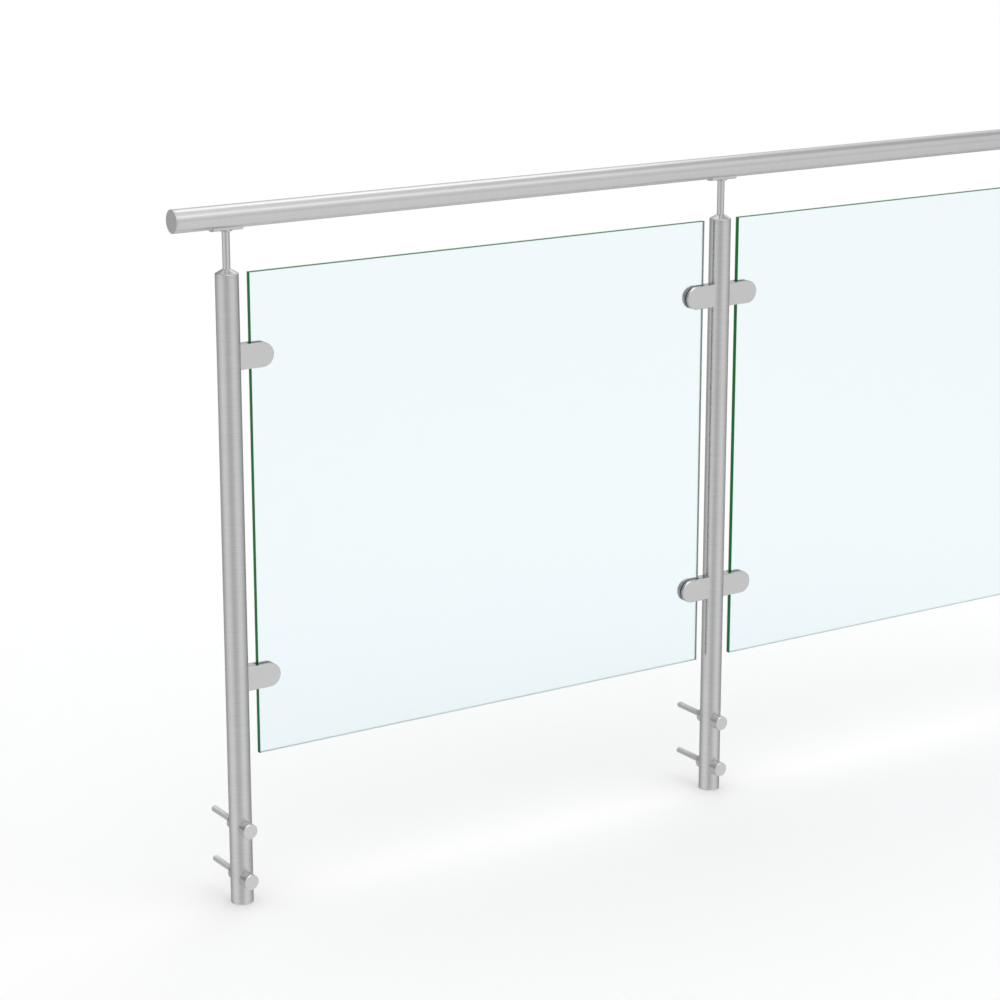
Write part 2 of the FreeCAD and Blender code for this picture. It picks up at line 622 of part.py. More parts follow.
def clamp_post_screws():
    """Cap screws with hexagon sockets, through the clamp bodies into the posts."""
    body = make_body("clamp_post_screws")
    seat = from_pane_middle("derived.post_screw_seat")
    top = f"{seat} + sizes.post_screw_head_height"
    shank = "sizes.post_screw_dia / 2"
    section = make_sketch(body, "XZ_Plane", "post_screw_section")
    draw_outline(section, [
        (f"{seat} - sizes.post_screw_length", "0"),
        (f"{seat} - sizes.post_screw_length", shank),
        (seat, shank),
        (seat, "sizes.post_screw_head / 2"),
        (top, "sizes.post_screw_head / 2"),
        (top, "0"),
    ])
    turn("Revolution", section, "H_Axis")
    socket = make_sketch(body, "YZ_Plane", "post_screw_hexagon", top)
    draw_hexagon(socket, "sizes.post_screw_socket")
    extrude("Pocket", socket, "sizes.post_screw_socket_depth")
    return at_each_clamp(body)


def post_rivet_nuts():
    """Rivet nuts set in the post walls: a flange outside, a bulge behind the wall and a threaded sleeve."""
    body = make_body("post_rivet_nuts")
    bore = "sizes.post_screw_dia / 2 + sizes.thread_clearance"
    seat = from_pane_middle("derived.post_radius")
    bulge = from_pane_middle("derived.rivet_bulge_top")
    section = make_sketch(body, "XZ_Plane", "rivet_nut_section")
    draw_outline(section, [
        (f"{seat} - sizes.rivet_nut_length", bore),
        (f"{seat} + sizes.rivet_nut_flange_height", bore),
        (f"{seat} + sizes.rivet_nut_flange_height", "derived.rivet_flange"),
        (seat, "derived.rivet_flange"),
        (seat, "derived.rivet_sleeve"),
        (bulge, "derived.rivet_sleeve"),
        (bulge, "derived.rivet_bulge"),
        (f"{bulge} - sizes.rivet_nut_bulge_height", "derived.rivet_bulge"),
        (f"{bulge} - sizes.rivet_nut_bulge_height", "derived.rivet_sleeve"),
        (f"{seat} - sizes.rivet_nut_length", "derived.rivet_sleeve"),
    ])
    turn("Revolution", section, "H_Axis")
    return at_each_clamp(body)


def saddle_screws():
    """Countersunk screws with hexagon sockets, up through the saddles into the handrail."""
    body = make_body("saddle_screws")
    head = "sizes.saddle_screw_head / 2"
    shank = "sizes.saddle_screw_dia / 2"
    section = make_sketch(body, "XZ_Plane", "saddle_screw_section")
    draw_outline(section, [
        ("0", "0"),
        (head, "0"),
        (shank, f"{head} - {shank}"),
        (shank, "sizes.saddle_screw_length"),
        ("0", "sizes.saddle_screw_length"),
    ])
    turn("Revolution", section, "V_Axis")
    socket = make_sketch(body, "XY_Plane", "saddle_screw_hexagon")
    draw_hexagon(socket, "sizes.saddle_screw_socket")
    extrude("Pocket", socket, "sizes.socket_depth", reverse=True)
    repeat(body, [("X_Axis", 2, "sizes.saddle_screw_pitch")])
    repeat(body, [("X_Axis", len(POSTS), f"{len(POSTS) - 1} * sizes.post_pitch")])
    return place(body, "-sizes.post_pitch - sizes.saddle_screw_pitch / 2", "derived.post_y",
                 "derived.rail_z - derived.saddle_screw_seat")


def at_each_fixing(body, y="0"):
    """Repeats a piece of the lower left wall fixing at all the wall fixings."""
    repeat(body, [("X_Axis", len(POSTS), f"{len(POSTS) - 1} * sizes.post_pitch"),
                  ("Z_Axis", 2, "sizes.fixing_pitch")])
    return place(body, "-sizes.post_pitch", y, "-sizes.fixing_pitch / 2")


def anchor_studs():
    """Studs in the wall, with a thinner threaded neck through spacer and post into the cap nut."""
    body = make_body("anchor_studs")
    front = "derived.post_y - derived.post_radius - sizes.anchor_engagement"
    section = make_sketch(body, "YZ_Plane", "anchor_stud_section")
    draw_outline(section, [
        (front, "0"),
        (front, "derived.anchor_neck"),
        ("0", "derived.anchor_neck"),
        ("0", "derived.anchor_radius"),
        ("sizes.anchor_depth - sizes.anchor_tip", "derived.anchor_radius"),
        ("sizes.anchor_depth", "derived.anchor_radius - sizes.anchor_tip"),
        ("sizes.anchor_depth", "0"),
    ])
    turn("Revolution", section, "H_Axis")
    return at_each_fixing(body)


def cut_fixing_seat(body, label):
    """Hollows a piece of a wall fixing to the curve of the post, whose axis is the body's own Z axis."""
    seat = make_sketch(body, "XY_Plane", f"{label}_seat")
    draw_circle(seat, "derived.post_seat")
    extrude("Pocket", seat, "2 * (sizes.cap_nut_dia + sizes.spacer_dia)", side="Symmetric")


def anchor_cap_nuts():
    """Round cap nuts on the fronts of the posts, with a blind thread and a seat hollowed to the post."""
    body = make_body("anchor_cap_nuts")
    face = "-derived.post_radius - sizes.cap_nut_proud"
    thread = "-derived.post_radius - sizes.anchor_engagement - sizes.hole_clearance"
    bore = "derived.anchor_neck + sizes.thread_clearance"
    outside = "sizes.cap_nut_dia / 2"
    section = make_sketch(body, "YZ_Plane", "cap_nut_section")
    draw_outline(section, [
        (face, "0"),
        (thread, "0"),
        (thread, bore),
        ("0", bore),
        ("0", outside),
        (f"{face} + sizes.cap_nut_bevel", outside),
        (face, f"{outside} - sizes.cap_nut_bevel"),
    ][::-1])
    turn("Revolution", section, "H_Axis")
    cut_fixing_seat(body, "cap_nut")
    return at_each_fixing(body, "derived.post_y")


def wall_spacers():
    """Spacers between posts and wall: flat on the wall, hollowed to the post in front."""
    body = make_body("wall_spacers")
    back = "derived.post_radius + sizes.wall_gap"
    bore = "derived.anchor_radius + sizes.hole_clearance"
    section = make_sketch(body, "YZ_Plane", "spacer_section")
    draw_rectangle(section, "0", back, bore, "sizes.spacer_dia / 2")
    turn("Revolution", section, "H_Axis")
    cut_fixing_seat(body, "spacer")
    return at_each_fixing(body, "derived.post_y")


def build():
    """All the sub-parts, each in its place."""
    parts = [handrail_tube()]
    for side, sign in PANES.items():
        cap = end_cap(f"handrail_{side}_end_cap", "rail")
        parts.append(place(cap, f"{sign} * derived.rail_half", "derived.post_y", "derived.rail_z",
                           (0, 1, 0), -90 * sign))
        parts.append(pane(side))
        for end in ("left", "right"):
            for level in ("lower", "upper"):
                parts.extend(clamp(side, end, level))
    for post in POSTS:
        foot = end_cap(f"{post}_post_foot_cap", "post")
        parts.append(place(foot, post_x(post), "derived.post_y", "derived.foot_z"))
        parts.extend(make(post) for make in (post_tube, top_cap, handrail_stem, handrail_saddle))
    parts.extend(make() for make in (
        clamp_cover_screws,
        clamp_post_screws,
        post_rivet_nuts,
        saddle_screws,
        anchor_studs,
        anchor_cap_nuts,
        wall_spacers,
    ))
    doc.recompute()
    return parts


def check(parts):
    """Stops if anything in the document failed or a sub-part is empty or not valid."""
    for item in doc.Objects:
        if {"Invalid", "Error"} & set(item.State):
            raise RuntimeError(f"{item.Name} failed: {item.State}")
    for part in parts:
        if part.Shape.isNull() or not part.Shape.isValid() or not part.Shape.Solids:
            raise RuntimeError(f"{part.Label} has no valid shape")


def export(parts):
    """Writes each sub-part to a file of its own name."""
    os.makedirs("parts", exist_ok=True)
    for part in parts:
        part.Shape.exportStep(f"parts/{part.Label}.step")


balustrade = build()
check(balustrade)
export(balustrade)
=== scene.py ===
import bpy
import json
import math
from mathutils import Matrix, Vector


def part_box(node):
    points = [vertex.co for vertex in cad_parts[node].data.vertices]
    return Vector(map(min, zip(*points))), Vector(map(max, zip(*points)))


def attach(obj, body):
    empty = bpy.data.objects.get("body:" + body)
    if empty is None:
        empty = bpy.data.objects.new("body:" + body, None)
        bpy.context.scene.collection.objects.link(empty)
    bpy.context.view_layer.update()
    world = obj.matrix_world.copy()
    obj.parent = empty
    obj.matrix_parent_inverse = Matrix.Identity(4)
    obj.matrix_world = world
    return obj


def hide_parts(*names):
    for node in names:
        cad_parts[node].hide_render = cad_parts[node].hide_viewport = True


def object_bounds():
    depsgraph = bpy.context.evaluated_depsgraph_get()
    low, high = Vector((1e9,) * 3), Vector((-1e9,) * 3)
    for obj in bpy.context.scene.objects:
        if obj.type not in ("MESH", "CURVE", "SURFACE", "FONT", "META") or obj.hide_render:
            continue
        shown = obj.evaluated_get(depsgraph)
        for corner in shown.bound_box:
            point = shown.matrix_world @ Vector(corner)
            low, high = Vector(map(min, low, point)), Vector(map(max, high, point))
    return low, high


bl_info = {
    "name": "Glass Balustrade Finish",
    "version": (1, 0, 0),
    "blender": (4, 5, 0),
    "location": "View3D > Sidebar > Balustrade",
    "description": "Finishes a side-mounted glass balustrade in steel, glass and rubber, in a studio",
    "category": "Object",
}

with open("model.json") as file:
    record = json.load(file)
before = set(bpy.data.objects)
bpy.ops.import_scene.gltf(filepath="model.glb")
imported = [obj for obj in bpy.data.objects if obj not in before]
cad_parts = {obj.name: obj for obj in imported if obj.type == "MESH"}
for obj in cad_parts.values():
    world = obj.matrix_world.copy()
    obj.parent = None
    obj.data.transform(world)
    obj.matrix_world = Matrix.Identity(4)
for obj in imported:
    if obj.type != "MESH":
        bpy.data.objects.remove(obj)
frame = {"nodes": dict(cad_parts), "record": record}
NODES = frame["nodes"]
CAD_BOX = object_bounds()
MM = 0.001

# Where the pieces stand, read from the loaded balustrade
MOUNTS = {mount["name"]: mount for mount in frame["record"]["mounts"]}
MIDDLE_FIXING = MOUNTS["wall_fixing_middle"]
POSTS = sum(name.startswith("wall_fixing_") for name in MOUNTS)
POST_PITCH = MOUNTS["wall_fixing_right"]["pos_m"][0] - MIDDLE_FIXING["pos_m"][0]
FIXINGS_PER_POST = 2
FIXING_PITCH = MIDDLE_FIXING["dims"]["spacing_y_mm"] * MM
ANCHOR_RADIUS = MIDDLE_FIXING["dims"]["stud_r_mm"] * MM
ANCHOR_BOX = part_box("anchor_studs")
RAIL_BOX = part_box("handrail_tube")
RAIL_Y = (RAIL_BOX[0].y + RAIL_BOX[1].y) / 2
RAIL_Z = (RAIL_BOX[0].z + RAIL_BOX[1].z) / 2
FOOT_Z = CAD_BOX[0].z

# Middle of a noise that runs from 0 to 1
NOISE_MEAN = 0.5

# How the ground steel is mixed from coarse lines, fine scratches half as long and soft patches
LINE_DETAIL = 3.0
LINE_BREAKUP = 0.6
SCRATCHES_PER_LINE = 2
PATCHES_PER_METRE = 9
LINE_SHADE = 0.5
SCRATCH_SHADE = 0.25
PATCH_SHADE = 0.25
LINE_ROUGHNESS = 0.6
SCRATCH_ROUGHNESS = 0.4
SCRATCH_BUMP = 0.35

# How far a normal points out of the pane where a surface starts to count as its face, and counts in full
FACE_LIMITS = (0.80, 0.95)
# The same for a surface that slants out, up or down
SLANT_LIMITS = (0.50, 0.65)
# Clouds of colour along the edges of a pane, and how far they change the brightness
EDGE_CLOUDS_PER_METRE = 60
EDGE_SPREAD = 0.2
# How far the painted light of the edges, their paler colour seen through the glass, shows in what the steel
# mirrors
MIRRORED_PAINTED_LIGHT = 0.5

# Darkest and lightest grain of the rubber, as shares of its colour, and how the grain shapes the surface
RUBBER_DARK = 0.8
RUBBER_LIGHT = 1.3
RUBBER_BUMP = 0.3
RUBBER_GRAIN_DEPTH = 0.1
RUBBER_ROUGHNESS_SPREAD = 0.1

# Edges of a stud's mesh that bend less than this are shaded smooth
SMOOTH_ANGLE = math.radians(25)
# Points of that mesh that are closer than this become one
MERGE_DISTANCE = 0.001 * MM

# The white room that polished pieces see. Each grey gap or bright box has what it adds to the room's
# brightness, and the values of a direction's coordinates between which it comes in. The angle is measured
# round from the camera, and lowered is z less the rise at the left
ROOM_LEVEL = 0.99
ROOM_PARTS = {
    "gap on the camera's side": (-0.34, (("angle", math.radians(52), 0.0), ("z", 0.5, 0.1))),
    "gap on the far side": (-0.56, (
        ("angle", math.radians(58), math.radians(146)), ("z", -0.9, -0.4), ("lowered", 0.15, -0.15))),
    "gap overhead at the right": (-0.85, (("z", 0.6, 0.78), ("x", 0.48, 0.72))),
    "gap along the horizon": (-0.2, (("z", -0.12, 0.04), ("z", 0.32, 0.14))),
    "gap in front at the right": (-0.2, (("z", 0.15, 0.3), ("x", 0.58, 0.70), ("y", 0.1, -0.2))),
    "gap behind the posts": (-0.25, (("y", 0.55, 0.75), ("z", -0.1, 0.2), ("z", 0.62, 0.45))),
    "box overhead in front": (2.2, (("z", 0.74, 0.84), ("x", 0.32, 0.18), ("y", -0.26, -0.38))),
}
# How much higher the gap on the far side reaches at the left, and where it rises
LEFT_RISE = 0.8
LEFT_LIMITS = (0.3, 0.0)


def nodes_ending(*endings):
    """Names of the loaded pieces that end in one of the given words."""
    return [name for name in sorted(NODES) if name.endswith(endings)]


class SteelFinish(bpy.types.PropertyGroup):
    """Satin steel of the posts, the handrail, the clamps and the fasteners."""

    colour: bpy.props.FloatVectorProperty(
        name="Steel colour", description="Reflectance of the bare steel",
        subtype="COLOR", size=3, min=0, max=1, default=(0.600, 0.600, 0.605))
    roughness: bpy.props.FloatProperty(
        name="Roughness", description="Roughness of the satin grind", subtype="FACTOR",
        min=0, max=1, default=0.30)
    roughness_spread: bpy.props.FloatProperty(
        name="Roughness spread", description="How far the grinding lines change the roughness",
        subtype="FACTOR", min=0, max=1, default=0.10)
    shade_spread: bpy.props.FloatProperty(
        name="Shade spread", description="How far the grinding lines change the brightness",
        subtype="FACTOR", min=0, max=1, default=0.22)
    line_pitch: bpy.props.FloatProperty(
        name="Line pitch", description="Usual distance between coarse grinding lines",
        unit="LENGTH", min=0.0001, default=3.2 * MM)
    scratch_pitch: bpy.props.FloatProperty(
        name="Scratch pitch", description="Usual distance between fine grinding scratches",
        unit="LENGTH", min=0.00005, default=0.35 * MM)
    line_length: bpy.props.FloatProperty(
        name="Line length", description="Usual length of a grinding line",
        unit="LENGTH", min=0.001, default=40 * MM)
    scratch_depth: bpy.props.FloatProperty(
        name="Scratch depth", description="Depth of the fine grinding scratches",
        unit="LENGTH", min=0, default=0.004 * MM)


class GlassFinish(bpy.types.PropertyGroup):
    """Clear toughened glass with polished edges."""

    face_tint: bpy.props.FloatVectorProperty(
        name="Face tint", description="Colour of what is seen through a pane",
        subtype="COLOR", size=3, min=0, max=1, default=(0.872, 0.943, 0.962))
    edge_tint: bpy.props.FloatVectorProperty(
        name="Edge tint", description="Colour of the edges of a pane",
        subtype="COLOR", size=3, min=0, max=1, default=(0.006, 0.185, 0.036))
    # Painted light: a paler copy of the edge colour where the edges are seen through the faces, and in part
    # in the steel's reflections
    painted_inner_light: bpy.props.FloatVectorProperty(
        name="Inner edge tint", description="Colour of the edges of a pane, seen through its faces",
        subtype="COLOR", size=3, min=0, max=1, default=(0.31, 0.38, 0.35))
    # Painted light: a still paler copy of the edge colour, on the lower bevels and on the lower edge seen
    # from inside
    painted_low_light: bpy.props.FloatVectorProperty(
        name="Lower edge tint",
        description="Colour of a pane's lower bevels, and of its lower edge from inside",
        subtype="COLOR", size=3, min=0, max=1, default=(0.76, 0.81, 0.81))
    edge_roughness: bpy.props.FloatProperty(
        name="Edge roughness", description="Roughness of the polished edges", subtype="FACTOR",
        min=0, max=1, default=0.12)
    edge_gloss: bpy.props.FloatProperty(
        name="Edge gloss", description="Specular level of the polished edges", subtype="FACTOR",
        min=0, max=1, default=0.15)
    ior: bpy.props.FloatProperty(
        name="Index of refraction", description="Index of refraction of the glass", min=1, default=1.5)


class RubberFinish(bpy.types.PropertyGroup):
    """Light grey rubber of the gaskets."""

    colour: bpy.props.FloatVectorProperty(
        name="Rubber colour", description="Colour of the rubber", subtype="COLOR", size=3,
        min=0, max=1, default=(0.66, 0.662, 0.664))
    roughness: bpy.props.FloatProperty(
        name="Roughness", description="Roughness of the rubber", subtype="FACTOR",
        min=0, max=1, default=0.62)
    speck: bpy.props.FloatProperty(
        name="Speck", description="Size of the rubber's grain", unit="LENGTH", min=0.0001, default=0.5 * MM)


class ThreadSizes(bpy.types.PropertyGroup):
    """Thread of the anchor studs."""

    pitch: bpy.props.FloatProperty(
        name="Thread pitch", description="Rise of the thread in one turn", unit="LENGTH",
        min=0.0002, default=1.75 * MM)
    depth: bpy.props.FloatProperty(
        name="Thread depth", description="Depth of the thread", unit="LENGTH", min=0, default=1.0 * MM)
    bevel: bpy.props.FloatProperty(
        name="End bevel", description="Bevel at each end of a thread", unit="LENGTH",
        min=0, default=1.5 * MM)
    shoulder: bpy.props.FloatProperty(
        name="Shoulder", description="Step from a stud down to its neck", unit="LENGTH",
        min=0, default=1.0 * MM)
    tip_clearance: bpy.props.FloatProperty(
        name="Tip clearance", description="How far a tip stays inside its stud's full length",
        unit="LENGTH", min=0, default=0.001 * MM)
    sides: bpy.props.IntProperty(
        name="Sides", description="Facets round a stud", min=8, default=40)
    rows: bpy.props.IntProperty(
        name="Rows", description="Rows of facets in one turn of the thread", min=4, default=4)


class StudioSettings(bpy.types.PropertyGroup):
    """Floor, light and camera."""

    floor_colour: bpy.props.FloatVectorProperty(
        name="Floor colour", description="Colour of the floor", subtype="COLOR", size=3,
        min=0, max=1, default=(0.96, 0.96, 0.96))
    floor_width: bpy.props.FloatProperty(
        name="Floor width", description="Width of the floor", unit="LENGTH", min=1, default=80)
    floor_fade: bpy.props.FloatVectorProperty(
        name="Floor fade", description="How far out the floor starts to turn white, and is white",
        unit="LENGTH", size=2, min=0, default=(2.0, 8.0))
    camera_place: bpy.props.FloatVectorProperty(
        name="Camera place", description="Where the camera stands", subtype="TRANSLATION", size=3,
        default=(-3.3726, -4.3956, 1.9865))
    camera_azimuth: bpy.props.FloatProperty(
        name="Camera azimuth", description="Angle of the camera round the balustrade", subtype="ANGLE",
        default=math.radians(-33.175))
    camera_elevation: bpy.props.FloatProperty(
        name="Camera elevation", description="Angle of the camera above level", subtype="ANGLE",
        default=math.radians(14.978))
    camera_lens: bpy.props.FloatProperty(
        name="Camera lens", description="Focal length, in millimetres", unit="CAMERA",
        min=1, default=101.864)
    back_lamp_place: bpy.props.FloatVectorProperty(
        name="Back lamp place", description="Where the soft lamp behind hangs",
        subtype="TRANSLATION", size=3, default=(1.45, 1.62, 4.5))
    back_lamp_size: bpy.props.FloatVectorProperty(
        name="Back lamp size", description="Length and width of that lamp", unit="LENGTH", size=2,
        default=(2.4, 2.1))
    back_lamp_power: bpy.props.FloatProperty(
        name="Back lamp power", description="Power of that lamp, in watts", unit="POWER",
        min=0, default=14)
    front_lamp_place: bpy.props.FloatVectorProperty(
        name="Front lamp place", description="Where the soft lamp in front hangs",
        subtype="TRANSLATION", size=3, default=(1.1, -3.1, 4.2))
    front_lamp_size: bpy.props.FloatVectorProperty(
        name="Front lamp size", description="Length and width of that lamp", unit="LENGTH", size=2,
        default=(3.0, 1.4))
    front_lamp_power: bpy.props.FloatProperty(
        name="Front lamp power", description="Power of that lamp, in watts", unit="POWER",
        min=0, default=7.5)


class Socket:
    """An output of a shader node. Sums, products and the like of it are Math nodes."""

    def __init__(self, tree, output):
        self.tree = tree
        self.output = output

    def math(self, operation, *values):
        return self.tree.node("ShaderNodeMath", {"operation": operation}, values)

    def __add__(self, other):
        return self.math("ADD", self, other)

    def __radd__(self, other):
        return self.math("ADD", other, self)

    def __sub__(self, other):
        return self.math("SUBTRACT", self, other)

    def __rsub__(self, other):
        return self.math("SUBTRACT", other, self)

    def __mul__(self, other):
        return self.math("MULTIPLY", self, other)

    def __rmul__(self, other):
        return self.math("MULTIPLY", other, self)

    def __truediv__(self, other):
        return self.math("DIVIDE", self, other)

    def __rtruediv__(self, other):
        return self.math("DIVIDE", other, self)

    def __pow__(self, other):
        return self.math("POWER", self, other)

    def __rpow__(self, other):
        return self.math("POWER", other, self)

    def __abs__(self):
        return self.math("ABSOLUTE", self)


class Tree:
    """The shader nodes of a material or of the world."""

    # A Mix node has sockets for each kind of value, and these are its sockets for colours
    FIRST_COLOUR = 6
    SECOND_COLOUR = 7
    MIXED_COLOUR = 2

    def __init__(self, owner):
        owner.use_nodes = True
        self.all = owner.node_tree
        self.all.nodes.clear()

    def node(self, kind, settings=None, values=(), output=0):
        """Adds a node, sets it up, links or fills its inputs, and returns one of its outputs."""
        node = self.all.nodes.new(kind)
        for name, setting in (settings or {}).items():
            setattr(node, name, setting)
        pairs = values.items() if isinstance(values, dict) else enumerate(values)
        for key, value in pairs:
            if isinstance(value, Socket):
                self.all.links.new(value.output, node.inputs[key])
            else:
                node.inputs[key].default_value = value
        return Socket(self, node.outputs[output]) if len(node.outputs) else node

    def place(self):
        """The place on a piece, in metres along X, Y and Z."""
        place = self.node("ShaderNodeTexCoord", output="Object")
        return [self.node("ShaderNodeSeparateXYZ", values=[place], output=axis) for axis in "XYZ"]

    def noise(self, x, y, z, detail=2.0, roughness=0.5):
        """Noise over three scaled coordinates, from 0 to 1."""
        spot = self.node("ShaderNodeCombineXYZ", values=[x, y, z])
        return self.node("ShaderNodeTexNoise", values={
            "Vector": spot, "Scale": 1.0, "Detail": detail, "Roughness": roughness})

    def smooth(self, value, start, full):
        """A smooth step of a value, from 0 at start to 1 at full, which may be the smaller of the two."""
        return self.node("ShaderNodeMapRange", {"interpolation_type": "SMOOTHSTEP"},
                         {"Value": value, "From Min": start, "From Max": full})

    def blend(self, share, first, second):
        """A colour between two, by share."""
        return self.node("ShaderNodeMix", {"data_type": "RGBA"}, {
            "Factor": share, self.FIRST_COLOUR: first, self.SECOND_COLOUR: second}, self.MIXED_COLOUR)


def rgba(colour, share=1.0):
    """A colour with its brightness changed by a share, and opaque."""
    return (*(min(1.0, part * share) for part in colour), 1.0)


def new_material(name):
    """An empty material and its tree."""
    material = bpy.data.materials.new(name)
    return material, Tree(material)


def end_material(tree, shader):
    """Links a shader to the material's surface."""
    tree.node("ShaderNodeOutputMaterial", values={"Surface": shader})


def grind_steel(name, finish, across, along, contrast=1.0, shade=1.0, dull=1.0):
    """Satin steel, ground in lines.

    across gives the coordinate that crosses the lines, and along the two that follow them. contrast, shade
    and dull are shares of the finish's spreads, of its colour and of its roughness.
    """
    material, tree = new_material(name)
    place = tree.place()
    step = across(*place)
    follow = [value / finish.line_length for value in along(*place)]
    lines = tree.noise(step / finish.line_pitch, *follow, LINE_DETAIL, LINE_BREAKUP)
    scratches = tree.noise(step / finish.scratch_pitch, *(value * SCRATCHES_PER_LINE for value in follow))
    patches = tree.noise(*(axis * PATCHES_PER_METRE for axis in place))
    share = lines * LINE_SHADE + scratches * SCRATCH_SHADE + patches * PATCH_SHADE
    shade_spread = contrast * finish.shade_spread
    colour = tree.blend(share, rgba(finish.colour, shade * (1 - shade_spread)),
                        rgba(finish.colour, shade * (1 + shade_spread)))
    wave = lines * LINE_ROUGHNESS + scratches * SCRATCH_ROUGHNESS - NOISE_MEAN
    roughness = finish.roughness * dull + wave * (contrast * finish.roughness_spread / NOISE_MEAN)
    normal = tree.node("ShaderNodeBump", values={
        "Strength": SCRATCH_BUMP, "Distance": finish.scratch_depth, "Height": scratches})
    end_material(tree, tree.node("ShaderNodeBsdfPrincipled", values={
        "Base Color": colour, "Metallic": 1.0, "Roughness": roughness, "Normal": normal}))
    return material


def from_each_axis(pitch, value):
    """Distance of a coordinate from the nearest of a row of axes at a pitch, with one at zero."""
    return value - value.math("ROUND", value / pitch) * pitch


def dress(material, names):
    """Gives the named pieces a material."""
    if not names:
        raise RuntimeError(f"no pieces to dress with {material.name}")
    for name in names:
        for slot in NODES[name].material_slots:
            slot.material = material


class BALUSTRADE_OT_posts(bpy.types.Operator):
    """Grind the post tubes and their caps, with lines round the tubes"""

    bl_idname = "balustrade.posts"
    bl_label = "Finish Posts"

    def execute(self, context):
        finish = context.scene.balustrade_steel
        steel = grind_steel("post_steel", finish, lambda x, y, z: z, lambda x, y, z: (x, y))
        dress(steel, nodes_ending("_post_tube", "_post_top_cap", "_post_foot_cap"))
        return {"FINISHED"}


class BALUSTRADE_OT_handrail(bpy.types.Operator):
    """Grind the handrail and its saddles with lines round the tube, and turn its end caps and stems"""

    bl_idname = "balustrade.handrail"
    bl_label = "Finish Handrail"

    def execute(self, context):
        finish = context.scene.balustrade_steel
        rail = grind_steel("handrail_steel", finish, lambda x, y, z: x, lambda x, y, z: (y, z),
                           contrast=0.5)
        dress(rail, ["handrail_tube"] + nodes_ending("_handrail_saddle"))
        caps = grind_steel("end_cap_steel", finish, self.from_rail_axis, lambda x, y, z: (x, x),
                           contrast=0.4)
        dress(caps, nodes_ending("_end_cap"))
        stems = grind_steel("stem_steel", finish, lambda x, y, z: z, lambda x, y, z: (x, y),
                            contrast=0.5, shade=0.95, dull=0.65)
        dress(stems, nodes_ending("_handrail_stem"))
        return {"FINISHED"}

    @staticmethod
    def from_rail_axis(x, y, z):
        """Distance from the axis of the handrail."""
        return ((y - RAIL_Y) * (y - RAIL_Y) + (z - RAIL_Z) * (z - RAIL_Z)) ** 0.5


class BALUSTRADE_OT_panes(bpy.types.Operator):
    """Give the panes clear glass, with green edges that carry painted light"""

    bl_idname = "balustrade.panes"
    bl_label = "Finish Panes"

    def execute(self, context):
        finish = context.scene.balustrade_glass
        material, tree = new_material("pane_glass")
        normal = tree.node("ShaderNodeTexCoord", output="Normal")
        facing = abs(tree.node("ShaderNodeSeparateXYZ", values=[normal], output="Y"))
        upward = tree.node("ShaderNodeSeparateXYZ", values=[normal], output="Z")
        face = tree.smooth(facing, *FACE_LIMITS)
        # Painted light: the bevels along the lower edge, and that edge seen from inside the glass, where it
        # faces up, are painted paler than the rest of the edge
        start, full = SLANT_LIMITS
        bevel = tree.smooth(upward, -start, -full) * tree.smooth(facing, start, full)
        lower = bevel.math("MAXIMUM", bevel, tree.smooth(upward, start, full))
        edge = self.polished_edge(tree, finish, bevel, lower)
        clear = self.clear_glass(tree, finish)
        end_material(tree, tree.node("ShaderNodeMixShader", values=[face, edge, clear]))
        dress(material, nodes_ending("_pane"))
        return {"FINISHED"}

    @staticmethod
    def clear_glass(tree, finish):
        """Clear glass, which lets the lamps through with its tint."""
        clear = tree.node("ShaderNodeBsdfPrincipled", values={
            "Base Color": rgba(finish.face_tint), "Roughness": 0.0, "IOR": finish.ior,
            "Transmission Weight": 1.0})
        shadow = tree.node("ShaderNodeLightPath", output="Is Shadow Ray")
        tint = tree.node("ShaderNodeBsdfTransparent", values={"Color": rgba(finish.face_tint)})
        return tree.node("ShaderNodeMixShader", values=[shadow, clear, tint])

    @staticmethod
    def polished_edge(tree, finish, bevel, lower):
        """Green edge of a pane, with painted light that makes it paler from inside the glass, in the steel
        and on the lower bevels.
        """
        cloud = tree.noise(*(axis * EDGE_CLOUDS_PER_METRE for axis in tree.place()))
        green = tree.blend(cloud, rgba(finish.edge_tint, 1 - EDGE_SPREAD),
                           rgba(finish.edge_tint, 1 + EDGE_SPREAD))
        pale = tree.blend(lower, rgba(finish.painted_inner_light), rgba(finish.painted_low_light))
        within = tree.node("ShaderNodeLightPath", output="Is Transmission Ray")
        mirrored = tree.node("ShaderNodeLightPath", output="Is Glossy Ray") * MIRRORED_PAINTED_LIGHT
        share = within.math("MAXIMUM", within, mirrored)
        share = share.math("MAXIMUM", share, bevel)
        return tree.node("ShaderNodeBsdfPrincipled", values={
            "Base Color": tree.blend(share, green, pale), "Roughness": finish.edge_roughness,
            "IOR": finish.ior, "Specular IOR Level": finish.edge_gloss})


class BALUSTRADE_OT_clamps(bpy.types.Operator):
    """Grind the glass clamps lengthwise and give their gaskets grey rubber"""

    bl_idname = "balustrade.clamps"
    bl_label = "Finish Clamps"

    def execute(self, context):
        finish = context.scene.balustrade_steel
        steel = grind_steel("clamp_steel", finish, lambda x, y, z: z, lambda x, y, z: (x, y),
                            contrast=0.35)
        dress(steel, nodes_ending("_clamp_body", "_clamp_cover"))
        dress(self.rubber(context.scene.balustrade_rubber), nodes_ending("_gasket"))
        return {"FINISHED"}

    @staticmethod
    def rubber(finish):
        """Light grey rubber with a fine grain."""
        material, tree = new_material("gasket_rubber")
        grain = tree.noise(*(axis / finish.speck for axis in tree.place()))
        colour = tree.blend(grain, rgba(finish.colour, RUBBER_DARK), rgba(finish.colour, RUBBER_LIGHT))
        roughness = finish.roughness + grain * RUBBER_ROUGHNESS_SPREAD
        normal = tree.node("ShaderNodeBump", values={
            "Strength": RUBBER_BUMP, "Distance": finish.speck * RUBBER_GRAIN_DEPTH, "Height": grain})
        end_material(tree, tree.node("ShaderNodeBsdfPrincipled", values={
            "Base Color": colour, "Roughness": roughness, "Normal": normal}))
        return material


